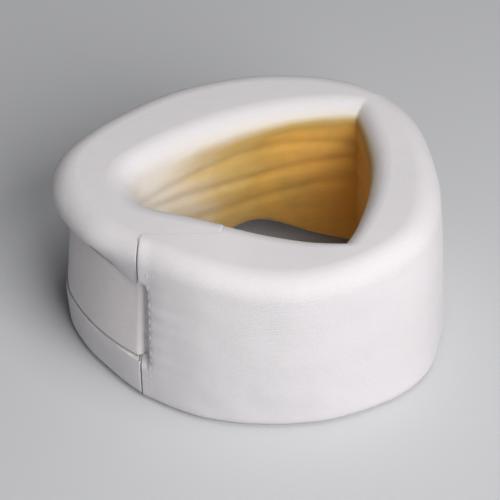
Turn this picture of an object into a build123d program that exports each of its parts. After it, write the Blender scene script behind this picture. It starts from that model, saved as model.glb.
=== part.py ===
from build123d import *
import math
import os

# Soft foam cervical collar, closed into a loop by a hook-and-loop strap at the nape.
# Millimetres. +Z is up, the wearer's chin is toward -Y and the closure toward +Y.
# The collar is one foam slab in one knitted cover. It bends at its two front corners, so the
# slab and the cover are each modelled in three lengths: a front panel and two side wings.

COLLAR_HEIGHT = 82.0
RIM_RADIUS = 9.5
COVER_SKIN = 1.1
FOAM_CLEARANCE = 0.2

# Seen from above the collar is a soft triangle: three round corners joined by bowed sides.
# A corner is (centre x, centre y, radius), in the order nape, left front, right front.
# The sides are the radii of the left wing, the front panel and the right wing.
OUTER_CORNERS = [(-6.0, 45.5, 34.0), (18.5, -27.5, 47.0), (-16.5, -34.0, 44.5)]
OUTER_SIDES = [96.0, 85.0, 96.0]
OPENING_CORNERS = [(-9.5, 33.5, 15.0), (36.0, -40.5, 5.0), (-34.5, -36.0, 5.5)]
OPENING_SIDES = [132.0, 75.0, 800.0]

# Each wing bends about a line on the outer face, so that its fold opens on the inside
LEFT_BEND = (53.3, -59.3)
LEFT_FOLD = (32.0, -37.0)
RIGHT_BEND = (-51.5, -61.3)
RIGHT_FOLD = (-30.0, -31.0)
BEND_GAP = 0.4

# The two ends of the slab lap at the nape. The right wing's end lies outside and carries the
# strap. The left wing's end is tucked in behind it. Both ends are blunt.
LAP_MOUTH_ANGLE = 148.5
LAP_TUCK = (-31.4, 8.0)
LAP_TUCK_ANGLE = 166.0
LAP_BLUNT = 9.0
LAP_GAP = 0.6

# The under side of the left wing is hollowed over the wearer's shoulder
SHOULDER_RISE = 16.0
SHOULDER_RADIUS = 60.0
SHOULDER_Y = -3.0
SHOULDER_X = 10.0
SHOULDER_REACH = 70.0

# Hook-and-loop closure. Depths are below the outer face of the collar.
STRAP_WIDTH = 38.0
STRAP_LENGTH = 57.0
STRAP_Z = 42.0
STRAP_TAPE = (0.7, 1.9)
STRAP_HOOKS = (1.95, 2.7)
PATCH_PILE = (3.0, 3.8)
PATCH_TAPE = (3.85, 4.5)
CHANNEL_DEPTH = 4.6
CHANNEL_MARGIN = 0.5
CHANNEL_END = 0.8
ROOT_TAB_DEPTH = 7.0
ROOT_TAB_SKIN = 1.2
PATCH_START = 5.0
PATCH_BORDER = 2.2
HOOKS_START = 8.0
HOOKS_END = 53.0
HOOKS_BORDER = 1.5

# Sewing thread
STITCH_RADIUS = 0.28
STITCH_LENGTH = 2.6
STITCH_PITCH = 4.0
STITCH_LIFT = 0.1
ROOT_ROWS = (-3.0, -6.0)
OUTER_END_ROW = -4.5
INNER_END_ROW = (1.2, 5.0)
ROW_MARGIN = 2.0
RIM_MARGIN = 12.0

# Tools that cut right through the wall start this far outside it and inside it
OUTSIDE = 12.0
INSIDE = 8.0


def bow_centre(first, second, radius):
    """Centre of the bowed side of this radius that wraps both corner circles."""
    (ax, ay, ar), (bx, by, br) = first, second
    reach_a, reach_b = radius - ar, radius - br
    span = math.hypot(bx - ax, by - ay)
    along = (reach_a**2 - reach_b**2 + span**2) / (2 * span)
    across = math.sqrt(reach_a**2 - along**2)
    ux, uy = (bx - ax) / span, (by - ay) / span
    return Vector(ax + along * ux + across * uy, ay + along * uy - across * ux)


def upright(face, base, height):
    """Block standing on a plan face, from base up to base + height."""
    return Pos(0, 0, base) * extrude(face, amount=height, dir=(0, 0, 1))


def soft_triangle(corners, sides, grow):
    """Face of a soft triangle whose outline is moved out by grow."""
    corners = [(x, y, radius + grow) for x, y, radius in corners]
    bows = []
    for i, side in enumerate(sides):
        first, second = corners[i], corners[(i + 1) % 3]
        centre = bow_centre(first, second, side + grow)
        leaves = (Vector(*first[:2]) - centre).normalized()
        arrives = (Vector(*second[:2]) - centre).normalized()
        bows.append((centre, side + grow, leaves, arrives))
    edges = []
    for i, (centre, radius, leaves, arrives) in enumerate(bows):
        start, end = centre + leaves * radius, centre + arrives * radius
        crown = centre + (leaves + arrives).normalized() * radius
        edges.append(Edge.make_three_point_arc(start, crown, end))
        following = bows[(i + 1) % 3]
        x, y, corner_radius = corners[(i + 1) % 3]
        tip = Vector(x, y) + (arrives + following[2]).normalized() * corner_radius
        edges.append(Edge.make_three_point_arc(end, tip, following[0] + following[2] * following[1]))
    return Face(Wire(edges))


def outer_face(inset):
    """Area inside the collar's outer face, moved in by inset."""
    return soft_triangle(OUTER_CORNERS, OUTER_SIDES, -inset)


def opening_face(inset):
    """Area of the neck opening, moved into the foam by inset."""
    return soft_triangle(OPENING_CORNERS, OPENING_SIDES, inset)


# The right wing's bowed outer side, which carries the closure
BACK_CENTRE = bow_centre(OUTER_CORNERS[2], OUTER_CORNERS[0], OUTER_SIDES[2])
BACK_RADIUS = OUTER_SIDES[2]
NAPE_CENTRE = Vector(*OUTER_CORNERS[0][:2])
NAPE_RADIUS = OUTER_CORNERS[0][2]
NAPE_DIRECTION = (NAPE_CENTRE - BACK_CENTRE).normalized()
NAPE_ANGLE = math.degrees(math.atan2(NAPE_DIRECTION.Y, NAPE_DIRECTION.X))
BOW_RUN = math.radians(LAP_MOUTH_ANGLE - NAPE_ANGLE) * BACK_RADIUS


def back_place(run, depth):
    """Point and outward direction on the outer face, run along it from the lap's mouth."""
    if run < BOW_RUN:
        centre, radius = BACK_CENTRE, BACK_RADIUS
        angle = math.radians(LAP_MOUTH_ANGLE) - run / BACK_RADIUS
    else:
        centre, radius = NAPE_CENTRE, NAPE_RADIUS
        angle = math.radians(NAPE_ANGLE) - (run - BOW_RUN) / NAPE_RADIUS
    outward = Vector(math.cos(angle), math.sin(angle))
    return centre + outward * (radius - depth), outward


def lap_line():
    """Path between the two lapped ends, from outside the collar to the neck opening."""
    mouth, outward = back_place(0, 0)
    angle = math.radians(LAP_TUCK_ANGLE)
    into_wall = Vector(math.cos(angle), math.sin(angle))
    tuck = Vector(*LAP_TUCK)
    outer_points = [mouth + outward * OUTSIDE, mouth - outward * LAP_BLUNT]
    inner_points = [tuck + into_wall * LAP_BLUNT, tuck - into_wall * OUTSIDE]
    return Polyline(*outer_points, *inner_points)


def kerf(line, width):
    """Upright slot of this width along a line, taller than the collar."""
    return upright(trace(line, line_width=width), -INSIDE, COLLAR_HEIGHT + 2 * INSIDE)


def bend_kerf(bend, fold):
    """Thin slot through the wall at a front corner."""
    bend, fold = Vector(*bend), Vector(*fold)
    outward = (bend - fold).normalized()
    return kerf(Polyline(fold - outward * INSIDE, bend + outward * OUTSIDE), BEND_GAP)


def shoulder_hollow(inset):
    """Cylinder that hollows the under side of the left wing."""
    lift = SHOULDER_RISE + inset - SHOULDER_RADIUS
    roller = Cylinder(SHOULDER_RADIUS, SHOULDER_REACH, align=(Align.CENTER, Align.CENTER, Align.MIN))
    return Pos(SHOULDER_X, SHOULDER_Y, lift) * Rot(0, 90, 0) * roller


def closure_zone(start, end):
    """Upright block over the outer face between two runs from the lap's mouth."""
    corners = []
    for run in (start, (start + end) / 2, end):
        place, outward = back_place(run, 0)
        corners.append(place + outward * OUTSIDE)
    for run in (end, start):
        place, outward = back_place(run, 0)
        corners.append(place - outward * INSIDE)
    return upright(make_face(Polyline(*corners, close=True)), 0, COLLAR_HEIGHT)


def closure_layer(depths, start, end, width):
    """Layer of the closure between two depths and two runs, following the outer face."""
    ring = upright(outer_face(depths[0]) - outer_face(depths[1]), STRAP_Z - width / 2, width)
    return ring & closure_zone(start, end)


def channel(inset):
    """Band that the tight strap presses into the cover, made deeper and wider by inset."""
    width = STRAP_WIDTH + 2 * CHANNEL_MARGIN + 2 * inset
    depths = (-INSIDE, CHANNEL_DEPTH + inset)
    return closure_layer(depths, -LAP_GAP / 2, STRAP_LENGTH + CHANNEL_END + inset, width)


def root_pocket(clearance):
    """Plate along the right wing's blunt end, where the strap is sewn in."""
    mouth, outward = back_place(0, 0)
    forward = Vector(outward.Y, -outward.X)
    near = mouth - forward * (LAP_GAP / 2 - clearance)
    far = mouth - forward * (LAP_GAP / 2 + ROOT_TAB_SKIN + clearance)
    top = outward * (clearance * 4 - STRAP_TAPE[0])
    bottom = outward * (-ROOT_TAB_DEPTH - clearance)
    corners = [near + top, far + top, far + bottom, near + bottom]
    width = STRAP_WIDTH + 2 * clearance
    return upright(make_face(Polyline(*corners, close=True)), STRAP_Z - width / 2, width)


def loop_body(inset, lap_gap):
    """The closed loop with soft rims, its skin moved in by inset, cut at the lap and the bends."""
    body = upright(outer_face(inset) - opening_face(inset), inset, COLLAR_HEIGHT - 2 * inset)
    rims = [edge for edge in body.edges() if edge.bounding_box().size.Z < 0.01]
    body = fillet(rims, RIM_RADIUS - inset)
    body -= shoulder_hollow(inset)
    body -= channel(inset)
    body -= kerf(lap_line(), lap_gap)
    body -= bend_kerf(LEFT_BEND, LEFT_FOLD)
    body -= bend_kerf(RIGHT_BEND, RIGHT_FOLD)
    return body


def lengths(body):
    """The front panel, left wing and right wing of a cut loop."""
    front, *wings = body.solids().sort_by(Axis.Y)
    right, left = sorted(wings, key=lambda solid: solid.center().X)
    return {"front_panel": front, "left_wing": left, "right_wing": right}


def foam():
    """Foam slab in three lengths, just clear of the cover."""
    inset = COVER_SKIN + FOAM_CLEARANCE
    return lengths(loop_body(inset, LAP_GAP + 2 * inset) - root_pocket(inset))


def cover():
    """Knitted cover in three lengths, closed over the lapped ends and open at the bends."""
    skin = lengths(loop_body(0, LAP_GAP) - root_pocket(0.1))
    hollow = loop_body(COVER_SKIN, LAP_GAP + 2 * COVER_SKIN) - root_pocket(COVER_SKIN)
    return {name: solid - hollow for name, solid in skin.items()}


def stitch(place, outward, along):
    """One stitch lying on a face, its length along a direction."""
    centre = place + outward * (STITCH_RADIUS + STITCH_LIFT)
    thread = Cylinder(STITCH_RADIUS, STITCH_LENGTH)
    return Plane(origin=centre, x_dir=outward, z_dir=along) * thread


def upright_stitches(run, depth, low, high):
    """Vertical run of stitches on the outer face."""
    place, outward = back_place(run, depth)
    count = int((high - low) / STITCH_PITCH) + 1
    pitch = (high - low) / (count - 1)
    return [stitch(place + Vector(0, 0, low + i * pitch), outward, Vector(0, 0, 1)) for i in range(count)]


def level_stitches(depth, start, end, height):
    """Horizontal run of stitches on the outer face."""
    count = int((end - start) / STITCH_PITCH) + 1
    pitch = (end - start) / (count - 1)
    stitches = []
    for i in range(count):
        place, outward = back_place(start + i * pitch, depth)
        along = Vector(outward.Y, -outward.X)
        stitches.append(stitch(place + Vector(0, 0, height), outward, along))
    return stitches


def strap_root_stitches():
    """Two upright rows that hold the strap in the right wing's end."""
    half = STRAP_WIDTH / 2 - ROW_MARGIN
    rows = [upright_stitches(run, 0, STRAP_Z - half, STRAP_Z + half) for run in ROOT_ROWS]
    return rows[0] + rows[1]


def outer_end_stitches():
    """Row that closes the cover's outer end, above and below the strap."""
    half = STRAP_WIDTH / 2 + ROW_MARGIN
    below = upright_stitches(OUTER_END_ROW, 0, RIM_MARGIN, STRAP_Z - half)
    above = upright_stitches(OUTER_END_ROW, 0, STRAP_Z + half, COLLAR_HEIGHT - RIM_MARGIN)
    return below + above


def inner_end_stitches():
    """Row that closes the cover's inner end, seen inside the neck opening."""
    side = bow_centre(OPENING_CORNERS[2], OPENING_CORNERS[0], OPENING_SIDES[2])
    toward = (Vector(*LAP_TUCK) + Vector(*INNER_END_ROW) - side).normalized()
    place = side + toward * OPENING_SIDES[2]
    count = int((COLLAR_HEIGHT - 2 * RIM_MARGIN) / STITCH_PITCH) + 1
    rise = [RIM_MARGIN + i * STITCH_PITCH for i in range(count)]
    return [stitch(place + Vector(0, 0, z), -toward, Vector(0, 0, 1)) for z in rise]


def loop_patch_stitches():
    """Stitches round the border of the loop patch."""
    depth = PATCH_TAPE[0]
    margin = PATCH_BORDER / 2
    low, high = STRAP_Z - STRAP_WIDTH / 2 + margin, STRAP_Z + STRAP_WIDTH / 2 - margin
    start, end = PATCH_START + margin, STRAP_LENGTH - margin
    stitches = []
    for height in (low, high):
        stitches += level_stitches(depth, start + ROW_MARGIN, end - ROW_MARGIN, height)
    for run in (start, end):
        stitches += upright_stitches(run, depth, low + ROW_MARGIN, high - ROW_MARGIN)
    return stitches


def closure():
    """Strap, its hooks and sewn-in root, and the loop patch it grips."""
    pile_width = STRAP_WIDTH - 2 * PATCH_BORDER
    pile_start, pile_end = PATCH_START + PATCH_BORDER, STRAP_LENGTH - PATCH_BORDER
    return {
        "closure_strap": closure_layer(STRAP_TAPE, LAP_GAP / 2, STRAP_LENGTH, STRAP_WIDTH),
        "strap_hooks": closure_layer(STRAP_HOOKS, HOOKS_START, HOOKS_END, STRAP_WIDTH - 2 * HOOKS_BORDER),
        "strap_root": root_pocket(0),
        "loop_patch": closure_layer(PATCH_TAPE, PATCH_START, STRAP_LENGTH, STRAP_WIDTH),
        "loop_pile": closure_layer(PATCH_PILE, pile_start, pile_end, pile_width),
    }


def collar():
    """Every separate piece by name, in the frame the plan is drawn in."""
    pieces = {f"cover_{name}": solid for name, solid in cover().items()}
    pieces |= {f"foam_{name}": solid for name, solid in foam().items()}
    pieces |= closure()
    pieces["strap_root_stitches"] = Compound(children=strap_root_stitches())
    pieces["outer_end_stitches"] = Compound(children=outer_end_stitches())
    pieces["inner_end_stitches"] = Compound(children=inner_end_stitches())
    pieces["loop_patch_stitches"] = Compound(children=loop_patch_stitches())
    return pieces


def main():
    """Write each piece with the origin at the centre of the collar's base."""
    os.makedirs("parts", exist_ok=True)
    plan = outer_face(0).bounding_box()
    home = Pos(-plan.center().X, -plan.center().Y, 0)
    for name, piece in collar().items():
        export_step(home * piece, f"parts/{name}.step")
    for name, place in (("left bend", LEFT_BEND), ("right bend", RIGHT_BEND)):
        print(name, Vector(*place) - plan.center())
    print("strap root", back_place(0, STRAP_TAPE[0])[0] - plan.center())


main()
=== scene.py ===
import math
import random

import bmesh
import bpy
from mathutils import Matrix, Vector, noise


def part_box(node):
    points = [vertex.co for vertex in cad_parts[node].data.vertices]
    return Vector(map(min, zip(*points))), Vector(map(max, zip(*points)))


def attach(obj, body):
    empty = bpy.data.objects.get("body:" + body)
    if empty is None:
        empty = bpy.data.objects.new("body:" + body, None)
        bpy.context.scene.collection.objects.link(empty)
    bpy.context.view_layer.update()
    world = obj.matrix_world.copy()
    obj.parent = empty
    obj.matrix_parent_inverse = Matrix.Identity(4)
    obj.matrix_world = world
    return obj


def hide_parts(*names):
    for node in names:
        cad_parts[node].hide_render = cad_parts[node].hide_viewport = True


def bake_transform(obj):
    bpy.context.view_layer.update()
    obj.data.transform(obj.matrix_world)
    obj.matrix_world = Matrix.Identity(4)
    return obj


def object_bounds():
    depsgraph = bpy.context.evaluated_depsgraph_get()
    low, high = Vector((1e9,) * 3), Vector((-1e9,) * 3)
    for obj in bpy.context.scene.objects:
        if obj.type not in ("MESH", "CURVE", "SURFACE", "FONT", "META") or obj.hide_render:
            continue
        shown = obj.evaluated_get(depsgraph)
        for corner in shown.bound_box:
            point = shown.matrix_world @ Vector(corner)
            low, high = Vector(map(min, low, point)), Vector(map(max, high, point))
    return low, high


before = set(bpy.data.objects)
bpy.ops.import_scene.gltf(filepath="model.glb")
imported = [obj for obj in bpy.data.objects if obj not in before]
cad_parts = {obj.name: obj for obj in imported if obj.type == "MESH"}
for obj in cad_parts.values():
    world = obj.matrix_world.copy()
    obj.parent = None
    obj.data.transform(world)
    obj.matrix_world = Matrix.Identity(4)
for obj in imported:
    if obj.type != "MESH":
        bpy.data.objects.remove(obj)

CAD_LOW, CAD_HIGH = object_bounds()
MM = (CAD_HIGH.y - CAD_LOW.y) / 160.4  # a millimetre, for the collar is 160.4 mm long
TOP = (CAD_HIGH.z - CAD_LOW.z) / MM
STRAP_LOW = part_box("closure_strap")[0].z / MM
STRAP_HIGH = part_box("closure_strap")[1].z / MM
STRAP_MIDDLE = (STRAP_LOW + STRAP_HIGH) / 2
SEED = 7

# All lengths below are in millimetres.
# Seen from above the collar is a soft triangle: round corners (centre x, centre y, radius) at
# the nape, the left front and the right front, and the radii of the bowed sides between them.
OUTER = ([(-3.4, 44.6, 34.5), (17.6, -30.4, 45.0), (-15.2, -35.6, 43.0)], [104.0, 98.0, 92.0])
OPENING = ([(-9.1, 34.2, 15.0), (38.6, -43.6, 1.6), (-36.4, -38.0, 2.4)], [128.0, 84.0, 800.0])

# Straight ribs cross the wall from its outer face to the neck opening. These go clockwise from
# the mouth of the lap, where the strap comes out, all the way round to the mouth again.
RIBS = [
    ((-54.3, 43.9), (-22.5, 40.5)),
    ((-3.4, 79.1), (-8.6, 49.2)),
    ((46.0, 51.5), (18.0, 25.0)),
    ((67.5, -10.0), (36.0, -11.0)),
    ((53.7, -58.6), (40.0, -44.8)),
    ((0.0, -80.2), (1.5, -54.0)),
    ((-51.1, -60.6), (-38.2, -40.0)),
    ((-68.3, 0.0), (-33.2, 0.0)),
    ((-54.3, 43.9), (-22.5, 40.5)),
]
NAPE, LEFT_SIDE, LEFT_BEND, FRONT, RIGHT_BEND, RIGHT_SIDE, MOUTH = 1, 3, 4, 5, 6, 7, 8
TUCK = -0.74  # where the inner end stops, past the mouth

# The slab and its skins
LAP_AT_MOUTH = 0.70  # share of the wall, from the opening out, that the inner end fills
LAP_AT_TUCK = 0.26
LAP_GAP = 0.16
RIM = 9.0
FOOT_SHARE = 0.55  # the rounding at the foot as a share of the rounding at the top
END_ROUND = 0.4
COVER_SKIN = 1.1
FOAM_INSET = 1.5

# Swells along the slab: offset from a rib, spread, height
SHOULDER_ARCH = (21.5, 36.0, 21.5)  # of the foot, from the left side's rib
SIDE_DIP = (-30.0, 42.0, 3.8)  # of the top, from the right bend's rib
CHIN_DIP = (0.0, 40.0, 1.5)  # of the top, from the front's rib

# How the two faces stand out or are pressed in
CROWN = 1.3  # of the outer face, at half height
BULGE_ABOVE_STRAP = 3.2
PINCH_BELOW_STRAP = 1.2
STRAP_PULL = 1.6  # inward at the strap's upper edge, outward at its lower one
PRESS_BY_MOUTH = 0.2  # share of the strap's depth that the outer end is pressed in
PRESS_PAST_MOUTH = 0.35  # the same just past the mouth, round the strap
LIP_DEPTH = 5.5  # of the notch in the outer end that the strap comes out of
LIP_LENGTH = 3.0
LIP_ROUND = 3.0
PUCKER = 0.4
NECK_CROWN = 1.0
NECK_FOLDS = ((61, 0.8), (51, 1.0), (38, 0.7))  # height and depth of each level fold
BROAD_LUMPS = (34.0, 0.9)  # size and depth
FINE_LUMPS = (13.0, 0.3)

# How the slab leans
LEAN_BACK = 6.4  # of the chin side, at the top
LEAN_IN = 2.0  # of the right wing, at the top
FLARE_OUT = 3.5  # of the left wing, at the foot

LEAST_INNER_TINT_AND_SHADE = 0.12  # share of the warm tint, with its painted shade, that shows at the nape

# The closure: pairs are depths below the outer face, or runs along it from the mouth
STRAP_LENGTH = 57.0
STRAP_TAPE = (2.2, 3.4)
HOOK_BASE = (3.42, 3.6)
HOOK_REACH = 4.3
PILE_BASE = (5.0, 5.3)
PILE_REACH = 4.55
PATCH_TAPE = (5.35, 6.0)
STRAP_BED = 6.2
STRAP_FOLD = 1.7
ROOT_DEPTH = 8.2
TUCKED_TAPE = 3.6  # length of the tape from its root to where it comes out
PATCH_RUN = (5.0, STRAP_LENGTH)
PILE_MARGIN = 2.2
HOOK_RUN = (8.5, 52.5)
HOOK_MARGIN = 1.5
HOOK_ROW = 1.2
HOOK_PITCH = 1.3
HOOK_RADIUS = 0.1
PILE_LOOPS = 2200
PILE_RADIUS = 0.055

# Sewing: rows are travels in from an end of the slab, and margins are clear of its rims
STITCH_LENGTH = 2.6
STITCH_PITCH = 4.0
THREAD_RADIUS = 0.13
ROOT_ROWS = (2.6, 5.0)
OUTER_END_ROW = 4.5
INNER_END_ROW = 3.4
ROW_MARGIN = 2.0
OUTER_MARGIN = 12.0
INNER_MARGIN = 14.0


# ---------------------------------------------------------------- plan


def bow_centre(first, second, radius):
    """Centre of the bowed side of this radius that wraps both corner circles."""
    (ax, ay, ar), (bx, by, br) = first, second
    span = math.hypot(bx - ax, by - ay)
    along = ((radius - ar) ** 2 - (radius - br) ** 2 + span**2) / (2 * span)
    across = math.sqrt((radius - ar) ** 2 - along**2)
    ux, uy = (bx - ax) / span, (by - ay) / span
    return Vector((ax + along * ux + across * uy, ay + along * uy - across * ux))


def bearing(vector):
    """Angle of a plan vector, clockwise from +Y."""
    return math.atan2(vector.x, vector.y)


class Outline:
    """A soft triangle, read by its run: the length along it, clockwise."""

    def __init__(self, shape):
        corners, sides = shape
        centres = [bow_centre(corners[i], corners[(i + 1) % 3], sides[i]) for i in range(3)]
        self.arcs = []
        for i in range(3):
            corner, following = Vector(corners[i][:2]), Vector(corners[(i + 1) % 3][:2])
            arrive = bearing(corner - centres[i - 1])
            leave = bearing(corner - centres[i])
            end = bearing(following - centres[i])
            self.arcs.append((corner, corners[i][2], arrive, (leave - arrive) % math.tau))
            self.arcs.append((centres[i], sides[i], leave, (end - leave) % math.tau))
        self.length = sum(radius * swept for _, radius, _, swept in self.arcs)

    def place(self, run):
        """Point at a run, and the direction straight out of the outline there."""
        run %= self.length
        for centre, radius, first, swept in self.arcs:
            if run <= radius * swept:
                break
            run -= radius * swept
        angle = first + run / radius
        outward = Vector((math.sin(angle), math.cos(angle)))
        return centre + outward * radius, outward

    def run_near(self, point):
        runs = [self.length * i / 1440 for i in range(1440)]
        return min(runs, key=lambda run: (self.place(run)[0] - Vector(point)).length)


def growing(runs, length):
    """Runs with a full turn added wherever they pass the outline's start."""
    grown = [runs[0]]
    for run in runs[1:]:
        grown.append(run if run > grown[-1] - 1 else run + length)
    return grown


outer_line, opening_line = Outline(OUTER), Outline(OPENING)
outer_runs = growing([outer_line.run_near(rib[0]) for rib in RIBS[:-1]], outer_line.length)
opening_runs = growing([opening_line.run_near(rib[1]) for rib in RIBS[:-1]], opening_line.length)
outer_runs.append(outer_runs[0] + outer_line.length - LAP_GAP)
opening_runs.append(opening_runs[0] + opening_line.length - LAP_GAP)


def run_at(runs, length, rib):
    """Run at a place between ribs, which may lie before the first one."""
    turn = math.floor(rib / MOUTH) if rib < 0 else 0
    rib -= MOUTH * turn
    i = min(int(rib), MOUTH - 1)
    return runs[i] + (runs[i + 1] - runs[i]) * (rib - i) + turn * length


def wall_at(rib):
    """Points on the outer face and the opening where a rib crosses the wall."""
    outside = outer_line.place(run_at(outer_runs, outer_line.length, rib))[0]
    inside = opening_line.place(run_at(opening_runs, opening_line.length, rib))[0]
    return outside, inside


def smooth(low, high, value):
    """A smooth rise from 0 at low to 1 at high, or a fall if low is above high."""
    t = min(max((value - low) / (high - low), 0.0), 1.0)
    return t * t * (3 - 2 * t)


def bell(centre, width, value):
    return math.exp(-(((value - centre) / width) ** 2))


def swell(place, shape, travel):
    """A bell near a place along the slab, its shape given as (offset, spread, height)."""
    offset, spread, height = shape
    return height * bell(place + offset, spread, travel)


def quarter_round(distance, radius):
    """0 at no distance, rising along a quarter circle to 1 at the radius."""
    t = min(max(distance / radius, 0.0), 1.0)
    return math.sqrt(1 - (1 - t) ** 2)


# ---------------------------------------------------------------- the slab, as one long strip


class Strip:
    """The slab from its outer end, at the mouth, right round to its tucked inner end.

    A place along it is its travel: the length from the outer end along the middle of the wall.
    """

    STEPS = 2400

    def __init__(self):
        self.ribs = [MOUTH + (TUCK - MOUTH) * i / self.STEPS for i in range(self.STEPS + 1)]
        middles = [sum(wall_at(rib), Vector((0, 0))) / 2 for rib in self.ribs]
        self.travels = [0.0]
        for before, after in zip(middles, middles[1:]):
            self.travels.append(self.travels[-1] + (after - before).length)
        self.length = self.travels[-1]
        self.tuck = self.travel_at(MOUTH + TUCK)
        self.right_bend = self.travel_at(RIGHT_BEND)
        self.front = self.travel_at(FRONT)
        self.left_bend = self.travel_at(LEFT_BEND)
        self.left_side = self.travel_at(LEFT_SIDE)
        self.nape = self.travel_at(NAPE)
        self.mouth = self.travel_at(0)

    def travel_at(self, rib):
        return self.travels[round((MOUTH - rib) / (MOUTH - TUCK) * self.STEPS)]

    def rib_at(self, travel):
        low, high = 0, self.STEPS
        while high - low > 1:
            middle = (low + high) // 2
            low, high = (middle, high) if self.travels[middle] <= travel else (low, middle)
        share = (travel - self.travels[low]) / max(self.travels[high] - self.travels[low], 1e-9)
        return self.ribs[low] + (self.ribs[high] - self.ribs[low]) * share

    def section(self, travel):
        """The wall's two points at a travel, and the shares of it that the slab fills between."""
        rib = self.rib_at(travel)
        outside, inside = wall_at(rib)
        thick = (outside - inside).length
        low, high = 0.0, 1.0
        past = min(MOUTH - rib, abs(rib)) / -TUCK
        lap = LAP_AT_MOUTH + (LAP_AT_TUCK - LAP_AT_MOUTH) * past
        if travel < self.tuck:
            low = (lap + LAP_GAP / 2 / thick) * quarter_round(self.tuck - travel, END_ROUND)
        if travel > self.mouth:
            high = lap - LAP_GAP / 2 / thick
        elif travel > self.mouth - END_ROUND:
            high += (lap - 1) * (1 - quarter_round(self.mouth - travel, END_ROUND))
        keep = quarter_round(min(travel, self.length - travel), END_ROUND)
        middle = (low + high) / 2
        return outside, inside, middle + (low - middle) * keep, middle + (high - middle) * keep

    def heights(self, travel):
        """Under side and top of the slab: it is arched over the shoulder and dips at the chin."""
        end = 1 - quarter_round(min(travel, self.length - travel), 1.0)
        arch = swell(self.left_side, SHOULDER_ARCH, travel)
        lapped = travel - self.mouth if travel > self.mouth else travel
        chin_dip = swell(self.front, CHIN_DIP, travel)
        side_dip = swell(self.right_bend, SIDE_DIP, lapped) * smooth(0, 45, lapped)
        return end + arch, TOP - end - chin_dip - side_dip

    def rims(self, travel, thick):
        """How far the rounded rims reach into the wall from the outer face and the opening."""
        outer_lapped = smooth(self.mouth - 0.3, self.mouth, travel)
        inner_lapped = smooth(self.tuck, self.tuck - 0.3, travel)
        free = min(RIM, thick * 0.45)
        lone = min(RIM, thick * 0.75)
        outer_free = free + (lone - free) * inner_lapped
        inner_free = free + (lone - free) * outer_lapped
        return outer_free * (1 - outer_lapped), inner_free * (1 - inner_lapped)


strip = Strip()


def in_strap_band(height, beyond, within):
    """1 where the strap crosses, falling to 0 from within its edge to beyond it."""
    reach = (STRAP_HIGH - STRAP_LOW) / 2
    return smooth(reach + beyond, reach - within, abs(height - STRAP_MIDDLE))


def under_strap(travel):
    """1 where the slab lies under the strap."""
    start = strip.mouth + 0.4
    return smooth(strip.nape - 12, strip.nape + 2, travel) * smooth(start, start - 1.2, travel)


def back_lean(height):
    """The tight strap pulls the collar in more along its upper edge than its lower one."""
    return STRAP_PULL * (height - STRAP_MIDDLE) / (STRAP_HIGH - STRAP_MIDDLE)


def outer_shift(travel, height):
    """How far the outer face stands out: bulge, flare, strap bed, mouth lip and puckers."""
    share = height / TOP
    crown = CROWN * math.sin(math.pi * min(max(share, 0), 1))
    nape = smooth(strip.nape - 50, strip.nape + 6, travel)
    above = smooth(STRAP_HIGH + 2, STRAP_HIGH + 13, height)
    below = smooth(STRAP_LOW, STRAP_LOW - 12, height)
    bulge = BULGE_ABOVE_STRAP * above - PINCH_BELOW_STRAP * below
    bulge *= nape * smooth(strip.mouth, strip.mouth - 18, travel)
    soft_edge, sharp_edge = in_strap_band(height, 14, 1), in_strap_band(height, 0.9, -0.3)
    under = under_strap(travel)
    by_mouth = PRESS_BY_MOUTH * smooth(11, 0, travel)
    along = smooth(strip.mouth, strip.mouth - 12, travel)
    past_mouth = under * (PRESS_PAST_MOUTH + (1 - PRESS_PAST_MOUTH) * along)
    press = max(sharp_edge * under, soft_edge * max(by_mouth, past_mouth))
    bed = (back_lean(height) + STRAP_TAPE[0] + crown) * press
    pocket = (ROOT_DEPTH - STRAP_BED) * smooth(strip.mouth - 3.8, strip.mouth - 2.8, travel)
    bed += (STRAP_BED - STRAP_TAPE[0] + pocket) * sharp_edge * under
    lip = LIP_DEPTH * (1 - quarter_round(travel - LIP_LENGTH, LIP_ROUND)) * in_strap_band(height, 3, 0)
    pucker = PUCKER * math.sin(height * 0.75) * math.exp(-travel / 9) * in_strap_band(height, 12, 0)
    return crown + bulge - bed - lip + pucker


def inner_shift(travel, height):
    """How far the opening's face stands into the neck: a soft bulge less some level folds."""
    share = height / TOP
    shift = NECK_CROWN * math.sin(math.pi * min(max(share, 0), 1))
    beyond_front = smooth(strip.front, strip.left_bend + 12, travel)
    for level, depth in NECK_FOLDS:
        sway = 2.5 * math.sin(travel * 0.04 + level)
        shift -= depth * bell(level + sway, 2.6, height) * beyond_front
    return shift


def leant(place, height):
    """The chin side and the right wing lean back a little toward their tops."""
    share = height / TOP
    back = LEAN_BACK * share * smooth(-12, -64, place.y)
    side = LEAN_IN * share * smooth(-30, -60, place.x)
    flare = FLARE_OUT * (1 - share) * smooth(10, 40, place.x)
    return Vector((place.x + side + flare, place.y + back))


def lumps(point):
    """Gentle unevenness of soft foam in a knitted cover."""
    broad = BROAD_LUMPS[1] * noise.noise(point / BROAD_LUMPS[0] + Vector((SEED, 0, 0)))
    fine = FINE_LUMPS[1] * noise.noise(point / FINE_LUMPS[0] + Vector((0, SEED, 0)))
    return broad + fine


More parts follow.
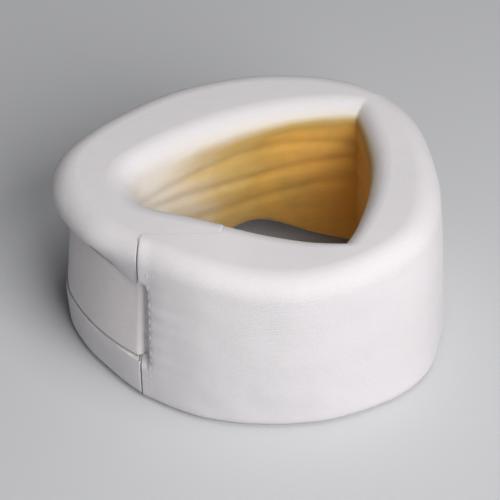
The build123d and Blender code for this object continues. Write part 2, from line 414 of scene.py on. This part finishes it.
def surface_point(travel, share, height, inset):
    """Point of the slab's skin: share 0 is the face toward the neck and 1 the outer face."""
    outside, inside, low, high = strip.section(travel)
    across = outside - inside
    out = across.normalized()
    near = inside + across * low + out * inset
    far = inside + across * high - out * inset
    slack = min((far - near).length / 12, 1.0)
    edge = smooth(0, 6, min(travel, strip.length - travel))
    lone_outer = smooth(strip.mouth + 0.4, strip.mouth - 0.8, travel)
    lone_inner = smooth(strip.tuck - 2, strip.tuck + 4, travel)
    wobble = lumps(Vector((far.x, far.y, height))) * edge
    far += out * (outer_shift(travel, height) + wobble) * lone_outer
    near -= out * (inner_shift(travel, height) + wobble * 0.6) * lone_inner * slack
    place = leant(near + (far - near) * share, height)
    return Vector((place.x, place.y, height))


FACE_STEPS, ROUND_STEPS, RIM_STEPS = 38, 6, 8


def ring(thick, bottom, top, outer_rim, inner_rim, rise, foot=1.0):
    """Rounded rectangle as (share across, height, girth), up the inside and down the outside."""
    tall = top - bottom
    rise = min(rise, tall * 0.45)
    low_rise, low_outer, low_inner = rise * foot, outer_rim * foot, inner_rim * foot
    straight = tall - rise - low_rise
    quarter = [math.pi / 2 * i / ROUND_STEPS for i in range(ROUND_STEPS)]
    across = [(1 - math.cos(math.pi * i / RIM_STEPS)) / 2 for i in range(RIM_STEPS)]
    flat = thick - outer_rim - inner_rim
    under = thick - low_outer - low_inner
    places = [(0.0, bottom + low_rise + straight * i / FACE_STEPS) for i in range(FACE_STEPS)]
    arc = [(1 - math.cos(angle), 1 - math.sin(angle)) for angle in quarter]
    places += [(inner_rim * go, top - rise * left) for go, left in arc]
    places += [(inner_rim + flat * t, top) for t in across]
    places += [(thick - outer_rim * left, top - rise * go) for go, left in arc]
    places += [(thick, top - rise - straight * i / FACE_STEPS) for i in range(FACE_STEPS)]
    places += [(thick - low_outer * go, bottom + low_rise * left) for go, left in arc]
    places += [(thick - low_outer - under * t, bottom) for t in across]
    places += [(low_inner * left, bottom + low_rise * go) for go, left in arc]
    girths = [0.0]
    for (x0, z0), (x1, z1) in zip(places, places[1:]):
        girths.append(girths[-1] + math.hypot(x1 - x0, z1 - z0))
    return [(x / thick, z, girth) for (x, z), girth in zip(places, girths)]


def inner_tint_and_shade(travel, share, height):
    """How strongly the warm tint shows on the neck's side, fading in down from the rim and deeper
    toward the chin, where it is painted shade of the deep inside.
    """
    # Warm tint, plus painted shade that grows down from the rim and deeper into the collar toward the
    # chin
    face = smooth(0.34, 0.02, share) * smooth(TOP - 1, TOP - 15, height)
    far_wing = smooth(strip.nape + 6, strip.left_bend + 4, travel)
    near_wing = smooth(strip.tuck - 20, strip.right_bend, travel)
    return face * (LEAST_INNER_TINT_AND_SHADE + (1 - LEAST_INNER_TINT_AND_SHADE) * min(far_wing, near_wing))


def slab_ring(travel, inset):
    """Skin points round the slab at a travel, each with its UV and its warm tint with painted shade.
    """
    outside, inside, low, high = strip.section(travel)
    thick = max((outside - inside).length * (high - low) - 2 * inset, 0.3)
    bottom, top = strip.heights(travel)
    outer_rim, inner_rim = strip.rims(travel, thick)
    around = ring(thick, bottom + inset, top - inset, outer_rim, inner_rim, RIM - inset, FOOT_SHARE)
    # The knit is laid out from the edge of the slab that isn't cut by the lap
    outer_top = around[FACE_STEPS + 2 * ROUND_STEPS + RIM_STEPS][2]
    origin = outer_top * smooth(strip.left_side, strip.left_bend, travel)
    skin = []
    for share, height, girth in around:
        point = surface_point(travel, share, height, inset)
        skin.append((point, (travel, girth - origin), inner_tint_and_shade(travel, share, height)))
    return skin


def stations(start, end):
    """Travels of the rings, closer together at the ends, the mouth, the tuck and the bends."""
    fine = [0.0, strip.tuck, strip.mouth, strip.length, strip.left_bend, strip.right_bend]
    travels, travel = [start], start
    while travel < end:
        near = min(abs(travel - place) for place in fine)
        travel += 0.25 if near < 2.5 else 0.8 if near < 10 else 1.6
        travels.append(min(travel, end))
    return travels


# ---------------------------------------------------------------- meshes


def loft(name, rings, other_rings=None):
    """Closed mesh through rings of (point, uv, warm tint with painted shade). Other rings make it a
    hollow shell.

    A solid loft is capped at both ends. A hollow one is open at its last ring, where its outer
    and inner rings are joined, and capped at its first.
    """
    mesh = bmesh.new()
    uv_layer = mesh.loops.layers.uv.new("UVMap")
    # Per-vertex warm tint of the neck side, with painted shade of the deep inside
    tint_and_shade_layer = mesh.verts.layers.float.new("inner_tint_and_shade")
    uvs = {}

    def add(one_ring):
        verts = []
        for point, uv, strength in one_ring:
            vert = mesh.verts.new(point * MM)
            vert[tint_and_shade_layer] = strength
            uvs[vert] = Vector(uv) * MM
            verts.append(vert)
        return verts

    def face(verts):
        made = mesh.faces.new(verts)
        made.smooth = True
        for loop in made.loops:
            loop[uv_layer].uv = uvs[loop.vert]
        return made

    def skin(tube):
        for first, second in zip(tube, tube[1:]):
            for j in range(len(first)):
                k = (j + 1) % len(first)
                face([first[j], first[k], second[k], second[j]])

    outer = [add(one_ring) for one_ring in rings]
    skin(outer)
    face(outer[0])
    edge_ring = outer[-1]
    if other_rings:
        inner = [add(one_ring) for one_ring in other_rings]
        skin(inner)
        face(inner[0])
        for j in range(len(edge_ring)):
            k = (j + 1) % len(edge_ring)
            face([edge_ring[j], edge_ring[k], inner[-1][k], inner[-1][j]])
    else:
        face(outer[-1])
    bmesh.ops.recalc_face_normals(mesh, faces=mesh.faces)
    for edge in mesh.edges:
        edge.smooth = edge.calc_face_angle(0.0) < math.radians(55)
    data = bpy.data.meshes.new(name)
    mesh.to_mesh(data)
    mesh.free()
    obj = bpy.data.objects.new(name, data)
    bpy.context.collection.objects.link(obj)
    return obj


def slab_half(end, inset):
    """Rings of half the slab, from one end to the middle of the front panel."""
    first = inset + 0.15
    if end == "right":
        return [slab_ring(travel, inset) for travel in stations(first, strip.front)]
    travels = stations(strip.front, strip.length - first)
    return [slab_ring(travel, inset) for travel in reversed(travels)]


def make_cover(end):
    return loft(f"cover_{end}", slab_half(end, 0.0), slab_half(end, COVER_SKIN))


def make_foam(end):
    return loft(f"foam_{end}", slab_half(end, FOAM_INSET))


# ---------------------------------------------------------------- closure


def back_place(run, depth, height=STRAP_MIDDLE):
    """Point under the outer face, run along it from the mouth, and its outward direction."""
    plan, out = outer_line.place(outer_runs[0] + run)
    plan = leant(plan - out * (depth + back_lean(height)), height)
    return Vector((plan.x, plan.y, height)), Vector((out.x, out.y, 0))


def flat_ring(run, depths, low, high, edge=0.35):
    """Ring across a flat band that lies along the outer face."""
    thick = depths[1] - depths[0]
    around = ring(thick, low, high, thick * 0.45, thick * 0.45, edge)
    return [
        (back_place(run, depths[1] - share * thick, height)[0], (run, height), 0.0)
        for share, height, girth in around
    ]


def flat_band(name, runs, depths, margin):
    """Band along the outer face between two runs, with a margin above and below it."""
    start, end = runs
    steps = int((end - start) / 1.5)
    rings = []
    for i in range(steps + 1):
        run = start + (end - start) * i / steps
        trim = 1.6 * (1 - quarter_round(min(run - start, end - run) + 0.05, 1.6))
        rings.append(flat_ring(run, depths, STRAP_LOW + margin + trim, STRAP_HIGH - margin - trim))
    return loft(name, rings)


def tape_place(travel):
    """Middle of the strap's tape: straight out of the mouth, a quarter fold, then along the face.

    Gives its run and depth, and the way its outer side faces in the same terms.
    """
    middle = sum(STRAP_TAPE) / 2
    start = 1.0
    rise = ROOT_DEPTH - middle - STRAP_FOLD
    fold = STRAP_FOLD * math.pi / 2
    if travel < rise:
        return (start, ROOT_DEPTH - travel), (-1.0, 0.0)
    if travel < rise + fold:
        angle = (travel - rise) / STRAP_FOLD
        facing = (-math.cos(angle), -math.sin(angle))
        centre = (start + STRAP_FOLD, middle + STRAP_FOLD)
        return (centre[0] + STRAP_FOLD * facing[0], centre[1] + STRAP_FOLD * facing[1]), facing
    return (start + STRAP_FOLD + travel - rise - fold, middle), (0.0, -1.0)


def tape_ring(travel, trim=0.0):
    """Ring across the strap's tape."""
    (run, depth), facing = tape_place(travel)
    thick = STRAP_TAPE[1] - STRAP_TAPE[0]
    around = ring(thick, STRAP_LOW + trim, STRAP_HIGH - trim, thick * 0.45, thick * 0.45, 0.5)
    places = []
    for share, height, girth in around:
        shift = (share - 0.5) * thick
        point, _ = back_place(run + facing[0] * shift, depth + facing[1] * shift, height)
        places.append((point, (travel, height), 0.0))
    return places


def make_tape(name, start, end, rounded):
    """Length of the strap's tape, its far corners rounded off if asked."""
    steps = int((end - start) / 0.6)
    rings = []
    for i in range(steps + 1):
        travel = start + (end - start) * i / steps
        trim = 5.0 * (1 - quarter_round(end - travel + 0.05, 5.0)) if rounded else 0.0
        rings.append(tape_ring(travel, trim))
    return loft(name, rings)


def wire_loft(mesh, points, radius, sides):
    """Thin bent wire through points, added to a bmesh."""
    rings = []
    for i, point in enumerate(points):
        before, after = points[max(i - 1, 0)], points[min(i + 1, len(points) - 1)]
        ahead = (after - before).normalized()
        side = ahead.cross(Vector((0.31, 0.17, 0.93))).normalized()
        other = ahead.cross(side)
        rings.append([])
        for j in range(sides):
            angle = math.tau * j / sides
            out = side * math.cos(angle) + other * math.sin(angle)
            rings[-1].append(mesh.verts.new((point + out * radius) * MM))
    for first, second in zip(rings, rings[1:]):
        for j in range(sides):
            k = (j + 1) % sides
            mesh.faces.new([first[j], first[k], second[k], second[j]]).smooth = True
    mesh.faces.new(rings[0])
    mesh.faces.new(rings[-1])


def wires(name, paths, radius, sides=4):
    """Many thin wires as one object."""
    mesh = bmesh.new()
    for path in paths:
        wire_loft(mesh, path, radius, sides)
    bmesh.ops.recalc_face_normals(mesh, faces=mesh.faces)
    data = bpy.data.meshes.new(name)
    mesh.to_mesh(data)
    mesh.free()
    obj = bpy.data.objects.new(name, data)
    bpy.context.collection.objects.link(obj)
    return obj


def on_back(run, depth, height):
    return back_place(run, depth, height)[0]


def hook_path(run, height):
    """One J-shaped hook, standing in from the tape and curling along it."""
    base, reach = HOOK_BASE[1] - 0.1, HOOK_REACH
    curl = 0.28
    path = [on_back(run, base, height), on_back(run, reach - curl, height)]
    for step in range(1, 5):
        angle = math.pi * 1.15 * step / 4
        along, inward = curl * (1 - math.cos(angle)), curl * (math.sin(angle) - 1)
        path.append(on_back(run + along, reach + inward, height))
    return path


def make_hooks():
    """Field of hooks in staggered rows."""
    paths = []
    start, end = HOOK_RUN[0] + 0.5, HOOK_RUN[1] - HOOK_MARGIN
    low, high = STRAP_LOW + HOOK_MARGIN + 1, STRAP_HIGH - HOOK_MARGIN - 1
    for row in range(int((end - start) / HOOK_ROW) + 1):
        height = low + HOOK_PITCH / 2 * (row % 2)
        while height < high:
            paths.append(hook_path(start + HOOK_ROW * row, height))
            height += HOOK_PITCH
    return wires("hooks", paths, HOOK_RADIUS)


def pile_path(draw):
    """One loose loop of the pile."""
    border = PILE_MARGIN + 1.3
    run = draw.uniform(PATCH_RUN[0] + border, PATCH_RUN[1] - border)
    height = draw.uniform(STRAP_LOW + border, STRAP_HIGH - border)
    heading = draw.uniform(0, math.pi)
    half = draw.uniform(0.25, 0.5)
    tall = PILE_BASE[0] - PILE_REACH - draw.uniform(0.0, 0.15)
    path = []
    for step in range(6):
        angle = math.pi * step / 5
        side = half * math.cos(angle)
        depth = PILE_BASE[0] + 0.1 - tall * math.sin(angle)
        path.append(on_back(run + side * math.cos(heading), depth, height + side * math.sin(heading)))
    return path


def make_pile():
    draw = random.Random(SEED)
    return wires("pile_loops", [pile_path(draw) for _ in range(PILE_LOOPS)], PILE_RADIUS, 3)


# ---------------------------------------------------------------- thread


def stitch_path(start, end, outward):
    """One stitch: a short thread that comes up out of the cloth, lies on it and goes back in."""
    path = []
    for step in range(7):
        t = step / 6
        lift = 0.3 * math.sin(math.pi * t) ** 0.6 - 0.1
        path.append(start + (end - start) * t + outward * lift)
    return path


def cloth_stitches(travel, low, high, share):
    """Upright row of stitches on the slab's outer or neck face."""
    paths = []
    count = int((high - low) / STITCH_PITCH) + 1
    for i in range(count):
        middle = low + (high - low) * i / max(count - 1, 1)
        start = surface_point(travel, share, middle - STITCH_LENGTH / 2, 0.0)
        end = surface_point(travel, share, middle + STITCH_LENGTH / 2, 0.0)
        outside, inside, _, _ = strip.section(travel)
        out = (outside - inside).normalized() * (1 if share else -1)
        paths.append(stitch_path(start, end, Vector((out.x, out.y, 0))))
    return paths


def patch_stitch(run, height, along, up):
    """One stitch on the loop patch, which reaches this far either way from its middle."""
    depth = PATCH_TAPE[0]
    start = on_back(run - along, depth, height - up)
    end = on_back(run + along, depth, height + up)
    return stitch_path(start, end, back_place(run, depth)[1])


def patch_stitches():
    """Stitches round the border of the loop patch, a little in from its edges."""
    margin, corner, half = 1.1, 2.0, STITCH_LENGTH / 2
    low, high = STRAP_LOW + margin, STRAP_HIGH - margin
    start, end = PATCH_RUN[0] + margin, PATCH_RUN[1] - margin
    across, upright = 13, 9
    paths = []
    for height in (low, high):
        for i in range(across):
            run = start + corner + (end - start - 2 * corner) * i / (across - 1)
            paths.append(patch_stitch(run, height, half, 0.0))
    for run in (start, end):
        for i in range(upright):
            height = low + corner + (high - low - 2 * corner) * i / (upright - 1)
            paths.append(patch_stitch(run, height, 0.0, half))
    return paths


# ---------------------------------------------------------------- materials


class Shader:
    """A new material with a Principled shader and short calls for its nodes."""

    def __init__(self, name, roughness, sheen=0.0, specular=0.3):
        self.material = bpy.data.materials.new(name)
        self.material.use_nodes = True
        self.nodes = self.material.node_tree.nodes
        self.links = self.material.node_tree.links
        self.main = self.nodes["Principled BSDF"]
        self.main.inputs["Roughness"].default_value = roughness
        self.main.inputs["Sheen Weight"].default_value = sheen
        self.main.inputs["Sheen Roughness"].default_value = 0.4
        self.main.inputs["Specular IOR Level"].default_value = specular
        self.coordinates = self.nodes.new("ShaderNodeTexCoord")

    def mapped(self, space, scale, turn=0.0):
        node = self.nodes.new("ShaderNodeMapping")
        node.inputs["Scale"].default_value = scale
        node.inputs["Rotation"].default_value = (0, 0, turn)
        self.links.new(self.coordinates.outputs[space], node.inputs["Vector"])
        return node.outputs["Vector"]

    def wave(self, vector, distortion=0.0, profile="SIN"):
        """Ridges across X with one ridge per unit of the vector's X."""
        node = self.nodes.new("ShaderNodeTexWave")
        node.bands_direction = "X"
        node.wave_profile = profile
        node.inputs["Scale"].default_value = math.tau / 20
        node.inputs["Distortion"].default_value = distortion
        self.links.new(vector, node.inputs["Vector"])
        return node.outputs["Fac"]

    def noise(self, vector, detail=2.0, roughness=0.5):
        node = self.nodes.new("ShaderNodeTexNoise")
        node.inputs["Scale"].default_value = 1.0
        node.inputs["Detail"].default_value = detail
        node.inputs["Roughness"].default_value = roughness
        self.links.new(vector, node.inputs["Vector"])
        return node.outputs["Fac"]

    def cells(self, vector):
        node = self.nodes.new("ShaderNodeTexVoronoi")
        node.inputs["Scale"].default_value = 1.0
        self.links.new(vector, node.inputs["Vector"])
        return node.outputs["Distance"]

    def math(self, operation, first, second):
        """Arithmetic on two sockets, or on a socket and a number."""
        node = self.nodes.new("ShaderNodeMath")
        node.operation = operation
        for socket, value in zip(node.inputs, (first, second)):
            if isinstance(value, (int, float)):
                socket.default_value = value
            else:
                self.links.new(value, socket)
        return node.outputs["Value"]

    def attribute(self, name):
        node = self.nodes.new("ShaderNodeAttribute")
        node.attribute_name = name
        return node.outputs["Fac"]

    def ramp(self, factor, stops):
        """Colours by position along the factor."""
        node = self.nodes.new("ShaderNodeValToRGB")
        band = node.color_ramp
        while len(band.elements) < len(stops):
            band.elements.new(0.5)
        for element, (position, colour) in zip(band.elements, stops):
            element.position = position
            element.color = (*colour, 1)
        self.links.new(factor, node.inputs["Fac"])
        return node.outputs["Color"]

    def colour(self, socket):
        self.links.new(socket, self.main.inputs["Base Color"])

    def bump(self, height, strength, depth):
        """Bump of this depth in millimetres, on top of any bump already there."""
        node = self.nodes.new("ShaderNodeBump")
        node.inputs["Strength"].default_value = strength
        node.inputs["Distance"].default_value = depth * MM
        self.links.new(height, node.inputs["Height"])
        before = self.main.inputs["Normal"].links
        if before:
            self.links.new(before[0].from_socket, node.inputs["Normal"])
        self.links.new(node.outputs["Normal"], self.main.inputs["Normal"])


def per_mm(across, along=None, up=None):
    """Mapping scale that turns metres into repeats of this many millimetres."""
    along, up = along or across, up or across
    return (1 / (across * MM), 1 / (along * MM), 1 / (up * MM))


def stockinette():
    """Fine rib-knit cotton: columns of stitches along the tube, warm-toned on the neck's side, with
    painted shade deepening inside toward the chin.
    """
    cloth = Shader("stockinette", 0.92, sheen=0.25, specular=0.15)
    wales = cloth.wave(cloth.mapped("UV", per_mm(0.9, 0.9), math.pi / 2), distortion=0.4)
    left = cloth.wave(cloth.mapped("UV", per_mm(0.75), 0.62), distortion=0.6)
    right = cloth.wave(cloth.mapped("UV", per_mm(0.75), -0.62), distortion=0.6)
    knit = cloth.math("ADD", wales, cloth.math("MAXIMUM", left, right))
    cloth.bump(cloth.noise(cloth.mapped("Object", per_mm(9.0)), 3.0), 0.25, 0.8)
    cloth.bump(knit, 0.22, 0.22)
    streaks = cloth.noise(cloth.mapped("Object", per_mm(30.0, 30.0, 4.0)), 3.0)
    blotches = cloth.noise(cloth.mapped("Object", per_mm(16.0)), 3.0)
    streaks, blotches = cloth.math("MULTIPLY", streaks, 0.35), cloth.math("MULTIPLY", blotches, 0.65)
    patchy = cloth.math("ADD", streaks, blotches)
    # Warm tint plus painted shade: the dark ochre stops paint the shade deep inside toward the chin
    tint_and_shade_amount = cloth.math("MULTIPLY", cloth.attribute("inner_tint_and_shade"), cloth.math("ADD", patchy, 0.5))
    white_to_shaded_ochre = [
        (0.0, (0.80, 0.775, 0.80)),
        (0.18, (0.86, 0.82, 0.74)),
        (0.50, (0.67, 0.47, 0.18)),
        (0.72, (0.61, 0.38, 0.095)),
        (1.0, (0.86, 0.47, 0.10)),
    ]
    cloth.colour(cloth.ramp(tint_and_shade_amount, white_to_shaded_ochre))
    return cloth.material


def open_foam():
    """Cream open-cell foam."""
    foam = Shader("open_cell_foam", 0.95, specular=0.1)
    pores = foam.cells(foam.mapped("Object", per_mm(0.9)))
    foam.bump(pores, 0.8, 0.5)
    tone = foam.noise(foam.mapped("Object", per_mm(12.0)), 4.0)
    foam.colour(foam.ramp(tone, [(0.3, (0.80, 0.74, 0.58)), (0.7, (0.88, 0.83, 0.69))]))
    return foam.material


def woven_tape():
    """Woven nylon tape with a plain weave and firm selvedges."""
    tape = Shader("woven_tape", 0.62, sheen=0.3)
    warp = tape.wave(tape.mapped("UV", per_mm(0.7)))
    weft = tape.wave(tape.mapped("UV", per_mm(0.7), math.pi / 2))
    tape.bump(tape.math("MAXIMUM", warp, weft), 0.5, 0.14)
    tone = tape.noise(tape.mapped("UV", per_mm(6.0, 0.8)), 3.0)
    tape.colour(tape.ramp(tone, [(0.25, (0.82, 0.77, 0.79)), (0.75, (0.90, 0.86, 0.87))]))
    return tape.material


def hook_plastic():
    """Slightly clear moulded nylon."""
    hooks = Shader("hook_nylon", 0.35, specular=0.5)
    hooks.main.inputs["Transmission Weight"].default_value = 0.15
    tone = hooks.noise(hooks.mapped("Object", per_mm(5.0)), 2.0)
    hooks.bump(hooks.noise(hooks.mapped("Object", per_mm(0.3)), 2.0), 0.2, 0.03)
    hooks.colour(hooks.ramp(tone, [(0.3, (0.78, 0.78, 0.77)), (0.7, (0.86, 0.86, 0.85))]))
    return hooks.material


def loop_nap(name, period):
    """Brushed loops, soft and a little shiny."""
    nap = Shader(name, 0.75, sheen=0.6)
    fuzz = nap.noise(nap.mapped("Object", per_mm(period)), 4.0, 0.7)
    nap.bump(fuzz, 0.6, 0.25)
    tone = nap.noise(nap.mapped("Object", per_mm(4.0)), 3.0)
    nap.colour(nap.ramp(tone, [(0.3, (0.76, 0.74, 0.73)), (0.7, (0.85, 0.83, 0.82))]))
    return nap.material


def sewing_thread():
    """Twisted thread."""
    thread = Shader("thread", 0.6, sheen=0.4)
    thread.bump(thread.wave(thread.mapped("Object", per_mm(0.5), 0.8)), 0.5, 0.05)
    tone = thread.noise(thread.mapped("Object", per_mm(3.0)), 2.0)
    thread.colour(thread.ramp(tone, [(0.3, (0.77, 0.75, 0.74)), (0.7, (0.86, 0.84, 0.83))]))
    return thread.material


def painted_floor():
    """Plain pale floor with the faintest unevenness."""
    floor = Shader("pale_floor", 0.85, specular=0.2)
    tone = floor.noise(floor.mapped("Object", (3.0, 3.0, 3.0)), 2.0)
    floor.colour(floor.ramp(tone, [(0.0, (0.64, 0.65, 0.67)), (1.0, (0.67, 0.68, 0.70))]))
    return floor.material


# ---------------------------------------------------------------- assembly

FRONT_TO_LEFT = (Vector((-17.0, -29.4, 0)), Vector((-6.5, -11.3, 0)))
FRONT_TO_RIGHT = (Vector((18.0, -31.2, 0)), Vector((7.0, -12.1, 0)))


def dress(piece, material, slot, *nodes):
    """Give a piece its material, and hide the CAD nodes it stands for; the slot is not used."""
    piece.data.materials.append(material)
    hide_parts(*nodes)


def bend_between(piece):
    """Bake a long piece's placement into its mesh."""
    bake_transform(piece)


def place_slab():
    """Covers and foam, in two halves that meet at the middle of the front panel."""
    cloth, foam = stockinette(), open_foam()
    for side, line in (("left", FRONT_TO_LEFT), ("right", FRONT_TO_RIGHT)):
        cover = make_cover(side)
        dress(cover, cloth, "stockinette", f"cover_{side}_wing", "cover_front_panel")
        filling = make_foam(side)
        dress(filling, foam, "foam", f"foam_{side}_wing", "foam_front_panel")
        for piece in (cover, filling):
            bend_between(piece)


def place_strap():
    """Strap with its hooks, and its root, which stays on the right wing."""
    tape, hooks = woven_tape(), hook_plastic()
    strap = make_tape("strap", TUCKED_TAPE, STRAP_LENGTH + 3.5, True)
    dress(strap, tape, "hook_tape", "closure_strap")
    pivot, outward = back_place(0, 0)
    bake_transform(strap)
    root = make_tape("strap_root_tape", 0.0, TUCKED_TAPE - 0.05, False)
    dress(root, tape, "hook_tape", "strap_root")
    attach(root, "right_wing")
    base = flat_band("hook_base", HOOK_RUN, HOOK_BASE, HOOK_MARGIN)
    field = make_hooks()
    for piece in (base, field):
        dress(piece, hooks, "hooks", "strap_hooks")
        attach(piece, "strap")


def place_patch():
    """Loop patch and its pile, on the left wing."""
    patch = flat_band("patch_tape", PATCH_RUN, PATCH_TAPE, 0.0)
    dress(patch, loop_nap("loop_tape", 0.5), "loop_tape", "loop_patch")
    pile_run = (PATCH_RUN[0] + PILE_MARGIN, PATCH_RUN[1] - PILE_MARGIN)
    pile_base = flat_band("pile_base", pile_run, PILE_BASE, PILE_MARGIN)
    pile = make_pile()
    nap = loop_nap("loop_pile", 0.25)
    for piece in (pile_base, pile):
        dress(piece, nap, "loop_pile", "loop_pile")
    for piece in (patch, pile_base, pile):
        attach(piece, "left_wing")


def place_stitches():
    """The four runs of thread."""
    thread = sewing_thread()
    low, high = STRAP_LOW + ROW_MARGIN, STRAP_HIGH - ROW_MARGIN
    root_rows = [path for row in ROOT_ROWS for path in cloth_stitches(row, low, high, 1.0)]
    end_rows = cloth_stitches(OUTER_END_ROW, OUTER_MARGIN, STRAP_LOW - ROW_MARGIN, 1.0)
    end_rows += cloth_stitches(OUTER_END_ROW, STRAP_HIGH + ROW_MARGIN, TOP - OUTER_MARGIN, 1.0)
    inner_travel = strip.length - INNER_END_ROW
    inner_row = cloth_stitches(inner_travel, INNER_MARGIN, TOP - INNER_MARGIN, 0.0)
    for name, paths, body in (
        ("strap_root_stitches", root_rows, "right_wing"),
        ("outer_end_stitches", end_rows, "right_wing"),
        ("inner_end_stitches", inner_row, "left_wing"),
        ("loop_patch_stitches", patch_stitches(), "left_wing"),
    ):
        piece = wires(f"thread_{name}", paths, THREAD_RADIUS, 6)
        dress(piece, thread, "thread", name)
        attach(piece, body)


def aimed(obj, place, target):
    obj.location = place
    obj.rotation_euler = (target - Vector(place)).to_track_quat("-Z", "Y").to_euler()
    bpy.context.collection.objects.link(obj)


def soft_light(name, place, size, power, colour):
    lamp = bpy.data.lights.new(name, "AREA")
    lamp.energy = power
    lamp.size = size
    lamp.color = colour
    aimed(bpy.data.objects.new(name, lamp), place, Vector((0, 0, 0.04)))


def studio():
    """Pale floor, weak room light, and a big soft light on the chin and right side of the collar."""
    corners = [(-4, -4, 0), (4, -4, 0), (4, 4, 0), (-4, 4, 0)]
    mesh = bpy.data.meshes.new("floor")
    mesh.from_pydata([Vector(corner) for corner in corners], [], [(0, 1, 2, 3)])
    floor = bpy.data.objects.new("floor", mesh)
    bpy.context.collection.objects.link(floor)
    mesh.materials.append(painted_floor())
    soft_light("key", (-1.06, -0.74, 0.98), 1.0, 22.0, (1.0, 0.985, 0.97))
    soft_light("top", (-0.2, -0.2, 1.3), 0.6, 4.5, (1.0, 0.99, 0.98))
    world = bpy.data.worlds.new("room")
    world.use_nodes = True
    background = world.node_tree.nodes["Background"]
    background.inputs["Color"].default_value = (0.92, 0.95, 1.0, 1)
    background.inputs["Strength"].default_value = 0.05
    bpy.context.scene.world = world
    bpy.context.scene.view_settings.view_transform = "Standard"


def camera():
    """The view of the reference picture: from the wearer's right, well above the rim."""
    lens = bpy.data.cameras.new("camera")
    lens.lens = 159
    eye = bpy.data.objects.new("camera", lens)
    lift, turn, distance = math.radians(42.5), math.radians(3.0), 0.92
    target = Vector((0.0, 0.002, 0.0355))
    away = Vector((-math.cos(lift) * math.cos(turn), -math.cos(lift) * math.sin(turn), math.sin(lift)))
    aimed(eye, target + away * distance, target)
    bpy.context.scene.camera = eye


place_slab()
place_strap()
place_patch()
place_stitches()
studio()
camera()
